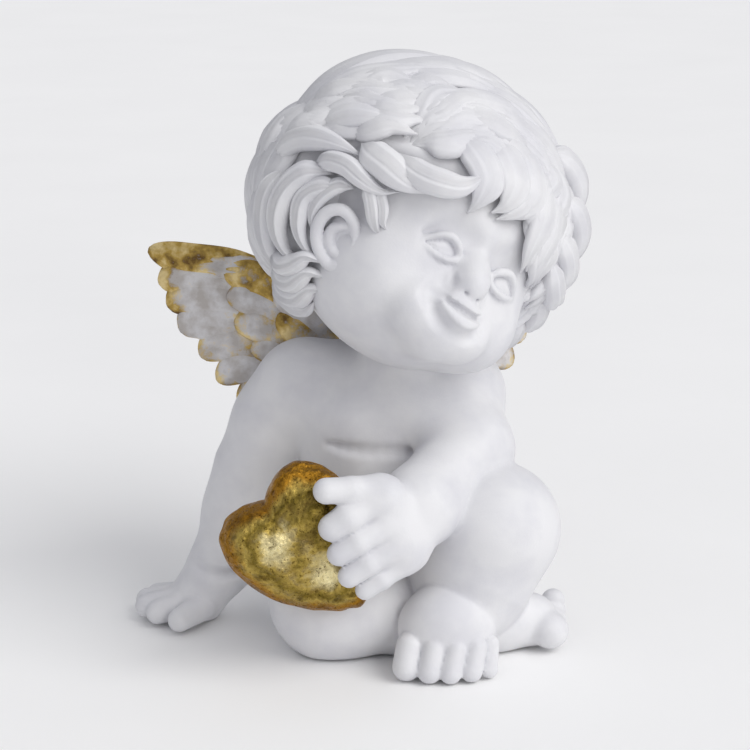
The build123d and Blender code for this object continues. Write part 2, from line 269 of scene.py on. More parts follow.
def makeResin():
    # matt white coat: a fine grain, faint cloudiness, and painted shade that makes it a little more grey in
    # the hollows
    material, nodes, links, shader = newMaterial("whiteResin")
    cloud = noiseNode(nodes, links, 90.0)
    tone = rampNode(nodes, links, cloud.outputs["Fac"], [(0.35, resin["shade"]), (0.6, resin["light"])])
    # painted shade: where Pointiness is below one half, in creases and hollows, the colour is multiplied
    # towards the hollow grey
    point = nodes.new("ShaderNodeNewGeometry")
    hollow = rampNode(nodes, links, point.outputs["Pointiness"], [(0.40, resin["hollow"]), (0.49, (1, 1, 1))])
    colour = mixColour(nodes, links, "MULTIPLY", 0.8, tone.outputs["Color"], hollow.outputs["Color"])
    links.new(colour, shader.inputs["Base Color"])
    shader.inputs["Roughness"].default_value = resin["roughness"]
    shader.inputs["Specular IOR Level"].default_value = 0.35
    grain = noiseNode(nodes, links, resin["grain"], 3.0, 0.6)
    bumpNode(nodes, links, shader, grain.outputs["Fac"], 0.25, 0.00012)
    return material


gilt = {"gold": (0.48, 0.35, 0.09), "pale": (0.95, 0.84, 0.48), "bare": (0.10, 0.06, 0.02),
        "olive": (0.24, 0.17, 0.03), "rim": (0.36, 0.18, 0.02), "crack": (0.35, 0.30, 0.22),
        "crinkle": 420.0, "flecks": 1700.0, "blotches": 105.0, "dents": 95.0}


def makeGoldLeaf():
    # crumpled leaf: fine creases, flecks where it broke, and a tone that is the mesh's rim mask
    # plus a broad noise, so that it goes from pale gold, a painted highlight, in the middle to brown, a
    # painted shade, at the rim
    material, nodes, links, shader = newMaterial("goldLeaf")
    crease = noiseNode(nodes, links, gilt["crinkle"], 6.0, 0.62)
    fleck = noiseNode(nodes, links, gilt["flecks"], 4.0, 0.65)
    blotch = noiseNode(nodes, links, gilt["blotches"], 4.0, 0.6)
    rim = nodes.new("ShaderNodeAttribute")
    rim.attribute_name = "paintedRimShade"
    # the rim mask of painted shade and painted highlight, plus random blotches
    paintedShadeAndBlotches = nodes.new("ShaderNodeMath")
    paintedShadeAndBlotches.operation = "ADD"
    links.new(rim.outputs["Fac"], paintedShadeAndBlotches.inputs[0])
    links.new(blotch.outputs["Fac"], paintedShadeAndBlotches.inputs[1])
    # pale gold at the low end is the painted highlight in the middle; rim brown at the high end is the
    # painted shade at the edge
    tones = [(0.42, gilt["pale"]), (0.56, gilt["gold"]), (0.66, gilt["olive"]), (0.80, gilt["gold"]),
             (1.0, gilt["rim"])]
    tone = rampNode(nodes, links, paintedShadeAndBlotches.outputs[0], tones)
    broken = rampNode(nodes, links, crease.outputs["Fac"], [(0.36, gilt["crack"]), (0.50, (1, 1, 1))])
    spots = rampNode(nodes, links, fleck.outputs["Fac"], [(0.33, gilt["bare"]), (0.40, (1, 1, 1))])
    creased = mixColour(nodes, links, "MULTIPLY", 0.75, tone.outputs["Color"], broken.outputs["Color"])
    colour = mixColour(nodes, links, "MULTIPLY", 0.85, creased, spots.outputs["Color"])
    links.new(colour, shader.inputs["Base Color"])
    shader.inputs["Metallic"].default_value = 1.0
    dull, bright = (0.7, 0.7, 0.7), (0.26, 0.26, 0.26)      # roughness in the flecks and between them
    gloss = rampNode(nodes, links, fleck.outputs["Fac"], [(0.35, dull), (0.6, bright)])
    links.new(gloss.outputs["Color"], shader.inputs["Roughness"])
    dent = noiseNode(nodes, links, gilt["dents"], 3.0, 0.5)
    under = bumpNode(nodes, links, shader, dent.outputs["Fac"], 0.9, 0.009)
    first = bumpNode(nodes, links, shader, crease.outputs["Fac"], 0.8, 0.001, under)
    bumpNode(nodes, links, shader, fleck.outputs["Fac"], 0.5, 0.00025, first)
    return material


brushed = {"stroke": 520.0, "grain": 1900.0, "roughness": 0.45,
           "white": [(0.38, (0.46, 0.43, 0.41)), (0.62, (0.66, 0.65, 0.66))],
           "gold": [(0.36, (0.13, 0.07, 0.015)), (0.50, (0.45, 0.30, 0.07)), (0.64, (0.72, 0.57, 0.28))]}


def makeGildedResin():
    # white resin dry-brushed with gold: the mesh's "gold" attribute says where, noise breaks it up
    material, nodes, links, shader = newMaterial("gildedResin")
    amount = nodes.new("ShaderNodeAttribute")
    amount.attribute_name = "gold"
    brush = noiseNode(nodes, links, brushed["stroke"], 5.0, 0.65)
    broken = nodes.new("ShaderNodeMath")      # the noise spread evenly to both sides of nought
    broken.operation = "MULTIPLY_ADD"
    broken.inputs[1].default_value = 1.1
    broken.inputs[2].default_value = -0.55
    links.new(brush.outputs["Fac"], broken.inputs[0])
    total = nodes.new("ShaderNodeMath")
    total.operation = "ADD"
    links.new(amount.outputs["Fac"], total.inputs[0])
    links.new(broken.outputs[0], total.inputs[1])
    mask = rampNode(nodes, links, total.outputs[0], [(0.42, (0, 0, 0)), (0.66, (1, 1, 1))])
    cloud = noiseNode(nodes, links, 260.0)
    base = rampNode(nodes, links, cloud.outputs["Fac"], brushed["white"])
    gold = rampNode(nodes, links, cloud.outputs["Fac"], brushed["gold"])
    white, gilding = base.outputs["Color"], gold.outputs["Color"]
    colour = mixColour(nodes, links, "MIX", mask.outputs["Color"], white, gilding)
    links.new(colour, shader.inputs["Base Color"])
    metal = rampNode(nodes, links, mask.outputs["Color"], [(0.3, (0, 0, 0)), (1.0, (0.6, 0.6, 0.6))])
    links.new(metal.outputs["Color"], shader.inputs["Metallic"])
    shader.inputs["Roughness"].default_value = brushed["roughness"]
    grain = noiseNode(nodes, links, brushed["grain"], 3.0, 0.6)
    bumpNode(nodes, links, shader, grain.outputs["Fac"], 0.3, 0.00015)
    return material


steel = [(0.3, (0.42, 0.42, 0.43)), (0.7, (0.62, 0.62, 0.63))]
felt = [(0.3, (0.20, 0.20, 0.21)), (0.7, (0.40, 0.40, 0.41))]


def makeSteel():
    # drawn wire, faintly mottled
    material, nodes, links, shader = newMaterial("brightSteel")
    mottle = noiseNode(nodes, links, 900.0)
    tone = rampNode(nodes, links, mottle.outputs["Fac"], steel)
    links.new(tone.outputs["Color"], shader.inputs["Base Color"])
    shader.inputs["Metallic"].default_value = 1.0
    shader.inputs["Roughness"].default_value = 0.3
    return material


def makeFelt():
    # pressed felt: soft grey fibres
    material, nodes, links, shader = newMaterial("greyFelt")
    fibre = noiseNode(nodes, links, 2200.0, 6.0, 0.7)
    tone = rampNode(nodes, links, fibre.outputs["Fac"], felt)
    links.new(tone.outputs["Color"], shader.inputs["Base Color"])
    shader.inputs["Roughness"].default_value = 0.95
    bumpNode(nodes, links, shader, fibre.outputs["Fac"], 0.6, 0.0003)
    return material


whiteResin, goldLeaf, gildedResin = makeResin(), makeGoldLeaf(), makeGildedResin()
for nodeNames, material in ((("neck_dowel", "limb_dowels", "wing_pins", "heart_pin"), makeSteel()),
                            (("seat_pad", "limb_pads"), makeFelt())):
    for nodeName in nodeNames:
        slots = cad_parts[nodeName].data.materials
        slots.clear()
        slots.append(material)
print("materials made")

# The body is five castings pressed into one another: their skin is drawn as one and then cut at the joints.
# They are clay because the seams have to vanish, and no single grid runs over a crotch or between fingers.

body = {"step": 0.5, "seamWidth": 0.15, "tuckedIn": 1.2, "low": (-54, -46, -0.8), "high": (46, 24, 66)}


def castTorso(clay):
    for side in (-5.5, 5.5):
        clay.ball((1 + side, 1.5, 13.5), 16.5, 8)
    clay.ball((3, -2.4, 28), 16.4, 8)
    for side in (-5.5, 5.5):
        clay.ball((2 + side, 2.5, 43), 14.0, 7)
    clay.cone((-12.5, 4, 50.5), (16.5, 3, 50.5), 8.6, 8.6, 6)
    clay.cone((2, 3, 48), (6, -1, 51), 13, 9.5, 5)
    clay.cone((6, -1, 51), (6.6, -3, 60.5), 9.5, 9.5, 4)
    for side, x in ((-1, -5.5), (1, 10.0)):
        clay.ball((x, -5.8, 45.5), 7.5, 8)
    # the fold between chest and belly
    fold = [(-9.5, -12.8, 43.0), (-4, -15.0, 42.2), (3, -15.8, 41.8), (10, -14.2, 42.0)]
    clay.chain(fold, [0.05, 0.35, 0.5, 0.4], 2.0, True)


def castRightArm(clay):
    links = (((-16.0, 3, 51), (-25.4, 3, 33), 8.6, 7.5, 4),
             ((-25.4, 3, 33), (-32.2, 1, 13), 7.5, 6.2, 5),
             ((-32.2, 1, 13), (-38, 1, 4.5), 6.2, 6.0, 4))
    for start, end, r0, r1, soft in links:
        clay.cone(start, end, r0, r1, soft)
    clay.ball((-20.8, 3.2, 43.5), 8.8, 5)
    clay.ball((-28.4, 2.0, 24.0), 7.2, 5)
    clay.chain([(-40, -3.5, 14.5), (-34.5, -6.2, 12.4), (-28, -4, 12.5)], [0.4, 0.6, 0.4], 1.8, True)
    fingers = (((-41, -2, 4), (-46, -4.5, 3.2)), ((-42, 0, 4.2), (-48.6, -1, 3.4)),
               ((-42, 2, 4.2), (-48.8, 2.8, 3.4)), ((-41, 4, 4), (-46.8, 6.4, 3.2)),
               ((-37, -4, 4), (-41, -9, 3.2)))
    for start, end in fingers:
        clay.cone(start, end, 3.0, 2.5, 0.9)


def castLeftArm(clay):
    links = (((17.2, 1.6, 48.5), (19.4, -13.2, 42), 8.9, 8.2, 4),
             ((19.4, -13.2, 42), (8.0, -29, 34.5), 8.2, 7.3, 4),
             ((8.5, -29, 34.5), (3.5, -34, 31), 7.6, 5.8, 4))
    for start, end, r0, r1, soft in links:
        clay.cone(start, end, r0, r1, soft)
    # the fingers lie close together and slant down to their tips
    fingers = (((-1.2, -38.0, 38.3), (-8.3, -40.2, 34.2), 3.05),
               ((1.4, -38.3, 34.2), (-7.0, -40.6, 29.0), 2.7),
               ((3.1, -37.8, 29.9), (-5.0, -40.2, 24.3), 2.6),
               ((4.9, -36.4, 25.6), (-1.9, -38.8, 21.0), 2.35))
    for start, end, radius in fingers:
        middle = np.array(start) * 0.45 + np.array(end) * 0.55 + np.array([0, -0.7, 0.2])
        clay.cone(start, middle, radius, radius, 0.5)
        clay.cone(middle, end, radius, radius - 0.3, 0.5)
    clay.cone((1.6, -36.3, 39.0), (6.4, -34.2, 27.6), 4.7, 4.0, 1.8)           # the row of knuckles
    clay.cone((0.5, -36.5, 40.6), (-4.6, -38.6, 41.4), 3.2, 2.6, 1.2)          # the thumb
    clay.cone((-4.6, -38.6, 41.4), (-9.4, -40.0, 41.6), 2.5, 2.6, 0.8)
    clay.cone((-1.0, -36.6, 36.5), (-4.5, -37.6, 24.5), 2.6, 2.0, 0.8)         # behind the fingers
    clay.ball((4.5, -34.5, 29.5), 6.0, 3)                                      # the back of the hand


def castRightLeg(clay):
    links = (((-4, 2, 14.6), (-8.5, -17, 11.4), 14, 12.7, 6),
             ((-8.5, -17, 11.4), (8, -18.5, 6.6), 11.6, 6.6, 5),
             ((8, -18.5, 6.6), (24, -16.5, 6.6), 6.6, 6.4, 4),
             ((24, -16.5, 6.6), (32, -15, 5.7), 6.4, 5.6, 4))
    for start, end, r0, r1, soft in links:
        clay.cone(start, end, r0, r1, soft)
    for k in range(4):
        clay.ball((37.2, -17.0 + 2.5 * k, 4.2 + 1.2 * k), 2.5, 0.7)
    clay.ball((36.0, -18.4, 4.6), 3.8, 1.0)


def castLeftLeg(clay):
    links = (((8.5, 2.4, 15), (24, -19, 27), 14, 12.2, 6), ((24, -19, 27), (19.5, -19.5, 15), 12.2, 10.8, 6),
             ((19.5, -19.5, 15), (16.5, -22.0, 9), 10.8, 8.0, 5))
    for start, end, r0, r1, soft in links:
        clay.cone(start, end, r0, r1, soft)
    # the foot: a plump dome with a crisp edge, and five toes that stand close together before it
    clay.egg((14.4, -27.8, 8.6), (9.8, 8.0, 9.6), soft=0.7)
    clay.cone((14.4, -27.5, 5.0), (14.4, -31.0, 4.6), 8.0, 4.6, 1.0)
    toes = ((7.0, 6.3, -34.2, 2.9), (11.8, 10.8, -35.7, 2.5), (16.1, 15.0, -36.0, 2.3),
            (20.1, 19.2, -35.0, 2.25), (23.2, 22.8, -33.0, 1.75))
    for top, low, y, radius in toes:
        clay.cone((top, y + 1.5, 6.9), (low, y, radius + 0.1), radius * 0.97, radius, 0.3)


def makeBody():
    # for each casting, the function that shapes it and the node that it replaces
    castings = {"torso": (castTorso, "torso"), "rightArm": (castRightArm, "right_arm"),
                "leftArm": (castLeftArm, "left_arm"), "rightLeg": (castRightLeg, "right_leg"),
                "leftLeg": (castLeftLeg, "left_leg")}
    fields = {}
    for name, (cast, _) in castings.items():
        clay = Clay(body["low"], body["high"], body["step"])
        cast(clay)
        fields[name] = clay.field
    x, y, z = clay.part(body["low"], body["high"], 0)[1]

    def meet(first, second, soft):
        # smooth union of two fields, rounded off over a width that may change from place to place
        near = np.maximum(soft - np.abs(first - second), 0) / soft
        return np.minimum(first, second) - near * near * soft / 4

    # each joint has its own softness: wide over shoulders and hips, tight in the creases below them
    whole = fields["torso"]
    whole = meet(whole, fields["rightArm"], 1.2 + 6.0 * smoothStep(36, 50, z))
    whole = meet(whole, fields["leftArm"], 1.2 + 6.0 * smoothStep(38, 50, z))
    legs = meet(fields["rightLeg"], fields["leftLeg"], 0.8 + 4.0 * smoothStep(-14, -4, y))
    whole = meet(whole, legs, 1.2 + 5.0 * smoothStep(-11, 2, y))
    whole = np.maximum(whole, 0.4 - z)     # flat underside
    step = clay.step
    for name, (_, node) in castings.items():
        others = np.minimum.reduce([f for other, f in fields.items() if other != name])
        side = (fields[name] - others) / 2      # how far a point is past the seam, halfway to the others
        cut = np.maximum(whole + body["seamWidth"] * np.maximum(side, 0) ** 2, side - body["tuckedIn"])
        points, quads = clay.skin(np.clip(cut, -4 * step, 4 * step))
        makeObject(name + "Casting", points, [quads], [node], whiteResin)


makeBody()
print("body made")

# The head has its own axes, left, back and up, which lean with the face.
# The face and the ears are clay too: lids, nostrils and lips grow out of one skin and fold back into it.

face = {"middle": (8.9, -6.0, 81.2), "left": (0.754, 0.341, -0.561), "back": (-0.554, 0.789, -0.265),
        "up": (0.352, 0.511, 0.784), "step": 0.40}
hair = {"middle": (7.2, -0.3, 89.0), "radii": (31.6, 29.6, 29.4), "back": 18, "lean": 19, "turn": 22.6}
hairAxes = turned(hair["back"], hair["lean"], hair["turn"])


def wayTo(angles):
    # directions from pairs of azimuth, straight ahead to the left, and elevation, upwards
    a, e = np.radians(np.asarray(angles, float)).T[:2]
    return np.stack([np.sin(a) * np.cos(e), -np.cos(a) * np.cos(e), np.sin(e)], -1)


def onHair(azimuth, elevation, height=0.0):
    # a place over the hair's egg, and which way is out there
    place, out = liftFrom(wayTo([(azimuth, elevation)]), np.array([height]))
    return place[0], out[0]


def liftFrom(way, height):
    # where each direction meets the egg, raised by height along the way out there, and that way out
    radii = np.array(hair["radii"])
    place = way / np.linalg.norm(way / radii, axis=-1, keepdims=True)
    out = place / radii**2
    out /= np.linalg.norm(out, axis=-1, keepdims=True)
    height = np.asarray(height, float)[..., None]
    return np.array(hair["middle"]) + (place + out * height) @ hairAxes.T, out @ hairAxes.T


def makeFace():
    clay = Clay((-34, -33, -37), (34, 34, 32), face["step"])

    def at(left, forward, up):
        return left, -forward, up

    def line(points, radii, soft, carve=False, count=9):
        clay.chain([at(*p) for p in points], radii, soft, carve, count)

    # skull, forehead, full cheeks, jowls and chin
    clay.egg(at(-3.0, -2.5, 6.5), (28.0, 27.0, 26.0), soft=4)
    clay.egg(at(0.0, 1.0, -6.0), (21.0, 20.0, 17.8), soft=5)
    clay.egg(at(-1.0, 3.2, 2.5), (18.5, 18.2, 14.5), soft=8)
    for side in (-1, 1):
        clay.ball(at(side * 10.6, 9.8, -11.8), 9.4, 5)
    clay.ball(at(-11.0, 3.0, -13.2), 9.6, 5)
    clay.ball(at(-2.0, 5.0, -15.6), 8.8, 5)
    clay.ball(at(0, 15.6, -18.6), 6.4, 4)
    # eyes: a hollow, the ball in it, a thick upper lid, the fold over it and a thin lower lid
    for side in (-1, 1):
        clay.egg(at(side * 8.2, 24.6, -2.8), (6.0, 3.0, 3.6), soft=4, carve=True)
        clay.egg(at(side * 7.6, 17.3, -5.2), (5.2, 4.9, 3.7), soft=1.0)
        arch = [(12.0, 19.8, -5.9), (10.2, 21.5, -3.9), (7.8, 22.6, -3.0), (5.6, 22.8, -3.7),
                (4.1, 22.4, -5.6)]
        line([(side * a, b, c) for a, b, c in arch], [0.4, 0.75, 0.85, 0.75, 0.4], 0.6, count=15)
        fold = [(12.2, 20.4, -4.2), (9.8, 22.5, -1.6), (7.2, 23.6, -0.9), (4.6, 23.6, -2.4)]
        line([(side * a, b, c) for a, b, c in fold], [0.2, 0.45, 0.5, 0.2], 1.4, True, 11)
        lower = [(11.8, 19.8, -6.1), (9.6, 21.2, -7.2), (7.2, 22.1, -7.5), (5.2, 22.3, -6.9),
                 (4.1, 22.3, -5.9)]
        line([(side * a, b, c) for a, b, c in lower], [0.2, 0.36, 0.4, 0.36, 0.2], 0.7, count=13)
        rim = [(11.4, 20.6, -6.0), (9.4, 22.1, -4.9), (7.4, 22.9, -4.4), (5.0, 23.0, -5.4)]
        line([(side * a, b, c) for a, b, c in rim], [0.25, 0.46, 0.48, 0.25], 0.3, True, 13)
        under = [(11.0, 20.8, -6.1), (9.2, 21.9, -6.6), (7.2, 22.6, -6.8), (5.2, 22.9, -6.3)]
        line([(side * a, b, c) for a, b, c in under], [0.15, 0.26, 0.26, 0.15], 0.3, True, 11)
    # nose
    line([(0, 20.4, -3.4), (0, 21.8, -6.2), (0, 23.6, -8.8)], [1.0, 1.5, 2.1], 3.0)
    clay.ball(at(0, 24.3, -9.9), 2.9, 1.4)
    for side in (-1, 1):
        clay.ball(at(side * 2.9, 22.7, -10.7), 1.9, 1.0)
        line([(side * 1.3, 25.7, -13.2), (side * 1.6, 24.5, -11.6)], [0.85, 0.6], 0.5, True, 3)
        line([(side * 4.3, 22.8, -9.4), (side * 4.3, 23.4, -11.6)], [0.3, 0.4], 1.2, True, 5)
    # muzzle and mouth: upper lip, lower lip, the slit between them and the hollow under them
    clay.egg(at(0, 18.6, -15.4), (7.4, 4.8, 5.6), soft=5)
    for side in (-1, 1):
        clay.ball(at(side * 5.6, 16.8, -17.2), 5.4, 3)
    upper = [(-5.4, 21.8, -13.9), (-3.0, 23.6, -14.6), (-1.0, 24.3, -14.7), (0, 24.1, -14.9),
             (1.0, 24.3, -14.7), (3.0, 23.6, -14.6), (5.4, 21.8, -13.9)]
    line(upper, [0.4, 0.65, 0.8, 0.75, 0.8, 0.65, 0.4], 1.6, count=15)
    lip = [(-5.8, 21.4, -14.5), (-3.6, 23.0, -16.6), (0, 23.9, -17.9), (3.6, 23.0, -16.6), (5.8, 21.4, -14.5)]
    line(lip, [0.4, 1.3, 1.85, 1.3, 0.4], 0.8, count=17)
    slit = [(-6.5, 21.9, -13.6), (-3.6, 24.2, -15.2), (0, 25.4, -15.9), (3.6, 24.2, -15.2),
            (6.5, 21.9, -13.6)]
    line(slit, [0.35, 0.6, 0.7, 0.6, 0.35], 0.3, True, 17)
    line([(-6.2, 22.2, -16.8), (-3.4, 23.8, -19.6), (0, 24.6, -20.8), (3.4, 23.8, -19.6), (6.2, 22.2, -16.8)],
         [0.3, 0.6, 0.7, 0.6, 0.3], 2.0, True, 13)
    for side in (-1, 1):      # the fold from nose to cheek, and the dimple at the corner
        crease = [(side * 4.6, 23.8, -11.2), (side * 6.9, 23.6, -13.4), (side * 7.7, 22.6, -16.0)]
        line(crease, [0.1, 0.3, 0.1], 3.0, True)
        clay.ball(at(side * 6.6, 22.4, -14.2), 0.7, 1.2, True)

    points, quads = clay.skin(np.clip(clay.field, -1.5, 1.5))
    axes = np.array([face["left"], face["back"], face["up"]])
    points = points @ axes + np.array(face["middle"]) * mm
    makeObject("headFace", points, [quads], ["head"], whiteResin)


makeFace()


def makeEars():
    # each ear is a bowl with a rolled rim carried round it, a lobe and a small bump in front
    ears = {"rightEar": ((-46.0, -25.5), 4.5, 6.0), "leftEar": ((59.0, -24.0), 4.0, 5.2)}
    for name, ((azimuth, elevation), halfWide, halfTall) in ears.items():
        side = np.sign(azimuth)
        middle, out = onHair(azimuth, elevation, -2.4)
        up = np.array([0.10, 0.0, 1.0]) if side < 0 else np.array([0.35, 0.1, 0.93])
        up -= out * (up @ out)
        up /= np.linalg.norm(up)
        wide = np.cross(up, out)          # across the ear
        low, high = middle - 12, middle + 12
        clay = Clay(low, high, 0.26)

        def at(across, upward, outward):
            return middle + wide * across + up * upward + out * outward

        front = 1 if side < 0 else -1      # which way the face is
        axes = np.stack([wide, out, up], 1)
        clay.egg(at(0.6 * front, -0.4, -0.4), (halfWide * 0.92, 3.2, halfTall * 0.9), axes, 1)
        clay.egg(at(1.0 * front, -0.6, 3.6), (halfWide * 0.56, 3.0, halfTall * 0.52), axes, 1.2, True)

        def carry(line, radii, soft, count):
            points = [at(a * halfWide * front, b * halfTall, c) for a, b, c in line]
            clay.chain(points, radii, soft, count=count)

        rim = [(0.72, 0.10, 0.9), (0.66, 0.62, 1.6), (0.15, 0.98, 2.2), (-0.55, 0.80, 2.7),
               (-0.92, 0.20, 3.0), (-0.80, -0.45, 2.8), (-0.35, -0.88, 2.3), (0.22, -1.02, 1.9)]
        carry(rim, [0.8, 1.0, 1.1, 1.15, 1.15, 1.1, 1.15, 1.35], 0.5, 25)
        fold = [(0.30, 0.45, 1.6), (-0.28, 0.30, 2.0), (-0.42, -0.15, 2.0), (-0.15, -0.50, 1.8),
                (0.30, -0.50, 1.6)]
        carry(fold, [0.5, 0.7, 0.75, 0.7, 0.6], 0.8, 13)
        clay.ball(at(0.25 * halfWide * front, -0.90 * halfTall, 1.5), 1.9, 1.2)
        clay.ball(at(0.75 * halfWide * front, -0.22 * halfTall, 1.0), 1.4, 1.0)
        points, quads = clay.skin(np.clip(clay.field, -1.2, 1.2))
        makeObject(name, points, [quads], ["head"], whiteResin)


makeEars()
print("face and ears made")

# The hair is locks laid over an egg-shaped cap. Each lock is a ribbon carried along a smooth line, and a
# tress is a row of locks whose lines go evenly from one guide line to another.

tresses = [
    # first guide, second guide, locks, width, thickness, how far it stands off
    ([(-84, 4), (-74, 18), (-62, 34), (-46, 48), (-22, 56), (5, 57), (28, 51), (46, 40), (60, 26)],
     [(-108, 8), (-112, 32), (-130, 60), (170, 80), (115, 68), (96, 48), (87, 28), (82, 8)],
     13, 7.6, 1.7, 0.5),
    ([(-108, 16), (-118, 42), (-150, 68), (150, 74), (118, 56), (102, 34), (94, 12), (90, -8)],
     [(-120, 10), (-145, 16), (-175, 15), (165, 6), (152, -10), (142, -26), (134, -42)], 12, 8.4, 1.9, 0.4),
    ([(-114, 14), (-120, -4), (-123, -22), (-120, -40), (-112, -54)],
     [(-120, 9), (-142, 9), (-168, 4), (172, -10), (160, -28), (150, -46)], 9, 8.6, 1.9, 0.4),
    ([(-70, 26), (-73, 14), (-76, 2), (-80, -12), (-85, -27), (-90, -41)],
     [(-102, 30), (-107, 10), (-110, -10), (-113, -30), (-113, -50)], 7, 7.0, 1.9, 0.3),
    ([(-86, -2), (-76, 4), (-64, 9), (-50, 13), (-38, 16), (-28, 18)],
     [(-84, 14), (-70, 28), (-54, 40), (-34, 49), (-8, 53)], 7, 6.6, 1.8, 0.7),
    ([(-33, 17), (-31, 28), (-24, 38), (-6, 47), (16, 48), (36, 38), (50, 24), (56, 10)],
     [(-28, 16), (-18, 20), (-6, 24), (6, 25), (17, 20), (24, 12)], 9, 6.2, 1.8, 0.7),
    ([(36, 40), (33, 24), (28, 10), (30, -1), (37, -13)],
     [(66, 30), (67, 14), (68, -1), (70, -14), (68, -26)], 6, 6.4, 2.2, 1.0),
    ([(78, 26), (80, 8), (80, -8), (78, -26)],
     [(126, 10), (124, -8), (120, -24), (114, -40)], 6, 8.0, 2.1, 0.6),
]

curls = [
    # line of (azimuth, elevation, height), width, thickness
    ([(-84, -2, 0.2), (-74, 4, 1.4), (-63, 6.5, 2.0), (-52, 7, 2.0), (-42, 5, 0.6)], 5.4, 2.2),
    ([(-60, -2, 0.5), (-54, 0.5, 2.0), (-47, 0, 2.6), (-40, -2.5, 2.2), (-33, -4, 1.2), (-27, -2.5, 0.6)],
     4.2, 2.4),
    ([(-46, 10, 1.0), (-38, 6, 2.4), (-31, 3, 2.8), (-24, 1, 2.2), (-16, 0.5, 0.6)], 6.5, 2.6),
    ([(-33, 11, 0.6), (-25, 6, 2.2), (-17, 4.2, 3.0), (-9, 5.5, 3.0), (-3, 10, 2.2), (2, 16, 0.8)], 5.6, 3.0),
    ([(-12, 27, 0.2), (-3, 20, 1.2), (2, 12, 1.9), (2, 5, 1.4), (0, -1, -0.4)], 7.4, 2.0),
    ([(4, 32, 0.2), (11, 23, 1.3), (14, 14, 2.0), (13, 7, 1.5), (9, 2.5, 0.0)], 7.6, 2.0),
    ([(16, 34, 0.2), (22, 24, 1.2), (24, 14, 1.8), (21, 7, 1.2), (16, 3, 0.0)], 7.6, 1.9),
    ([(12, 24, 0.2), (18, 16, 1.0), (19, 9, 1.5), (16, 4, 0.8), (12, 1, -0.2)], 4.6, 1.7),
    ([(28, 30, 0.2), (31, 17, 1.3), (31, 6, 1.8), (31, -4, 1.4), (35, -13, 0.0)], 7.0, 2.1),
    ([(36, 26, 0.2), (38, 14, 1.3), (38, 3, 1.8), (39, -7, 1.4), (44, -16, 0.0)], 6.0, 2.1),
    ([(44, 38, 0.6), (54, 34, 2.2), (62, 27, 3.0), (66, 19, 2.2), (64, 13, 0.6)], 7.0, 3.0),
    ([(50, 22, 0.8), (58, 16, 2.4), (66, 9, 3.0), (70, 2, 2.2), (68, -4, 0.4)], 6.5, 3.0),
    ([(46, 8, 0.6), (54, 2, 2.2), (63, -4, 2.8), (70, -8, 2.2), (74, -8, 0.5)], 6.0, 2.8),
    ([(48, -2, 0.4), (56, -9, 2.0), (65, -13, 2.8), (74, -14, 2.2), (79, -10, 0.4)], 5.6, 2.6),
    ([(62, -12, 0.0), (70, -19, 1.8), (78, -24, 2.6), (87, -24, 1.8)], 5.2, 2.6),
    ([(70, -24, 0.0), (76, -31, 1.8), (84, -34, 2.4), (92, -32, 1.4)], 5.0, 2.4),
    # round the right ear
    ([(-52, -3, 0.6), (-61, -5, 2.0), (-68, -12, 2.6), (-71, -22, 2.6), (-69, -32, 2.2), (-62, -38, 1.2)],
     5.0, 2.8),
    ([(-47, -8, 0.2), (-54, -8, 1.2), (-61, -13, 1.6), (-62, -22, 1.6), (-59, -30, 1.4), (-54, -35, 0.6)],
     4.0, 2.2),
    ([(-43, -6, -0.2), (-49, -6.5, 0.8), (-55, -12, 0.8), (-57, -20, 0.6), (-55, -28, 0.2)], 3.2, 1.8),
    ([(-74, -4, 0.4), (-79, -14, 1.8), (-81, -26, 2.2), (-79, -37, 1.8), (-73, -43, 0.4)], 5.4, 2.6),
    # waves at the nape
    ([(-80, -33, 0.8), (-72, -38, 2.2), (-64, -37, 2.4), (-57, -33, 2.0), (-49, -36, 0.4)], 4.4, 2.6),
    ([(-84, -38, 0.8), (-75, -44, 2.2), (-66, -44, 2.6), (-57, -39, 2.0), (-49, -42, 0.2)], 4.4, 2.6),
    ([(-90, -42, 0.8), (-80, -50, 2.2), (-68, -51, 2.4), (-58, -46, 1.8), (-50, -48, 0.2)], 4.6, 2.6),
    ([(-98, -46, 0.6), (-88, -54, 1.8), (-72, -57, 2.0), (-60, -53, 1.2)], 4.6, 2.4),
    # in front of the right ear
    ([(-39, -2, 0.4), (-36.5, -7, 1.0), (-34, -13, 0.6), (-31, -18, -0.8), (-29, -21, -2.2)], 2.8, 1.5),
    ([(-34, -3, 0.2), (-32, -8, 0.6), (-29.5, -14, 0.0), (-27, -18, -1.4)], 2.4, 1.3),
]


lockCut = {"depth": 0.34, "swell": (-0.04, 0.42), "taper": (0.5, 1.05), "around": 26, "rings": 40}
curlCut = {"depth": 0.30, "swell": (-0.02, 0.22), "taper": (0.45, 1.05), "around": 30, "rings": 44}


def lock(way, lift, width, height, strands, wave, phase, cut):
    # a ribbon over the egg, one ring for each direction in way: it sways by a sine of the length, calmed by
    # half a sine at the ends, and its width is a smooth step up times one less a smooth step at the tip
    way = way / np.linalg.norm(way, axis=1, keepdims=True)
    t = np.linspace(0, 1, len(way))
    path, out = liftFrom(way, lift)
    ahead = np.gradient(path, axis=0)
    ahead /= np.linalg.norm(ahead, axis=1, keepdims=True)
    sway = wave * np.sin(2 * np.pi * 1.4 * t + phase) * np.sin(np.pi * t)
    path = path + np.cross(ahead, out) * sway[:, None]
    shape = np.clip(smoothStep(*cut["swell"], t) * (1 - smoothStep(*cut["taper"], t) * 0.97), 0.03, 1)
    width, height = width * shape, height * shape ** 0.7
    return ribbon(path, out, width, height, strands, cut["depth"], 0.8, cut["around"], phase)


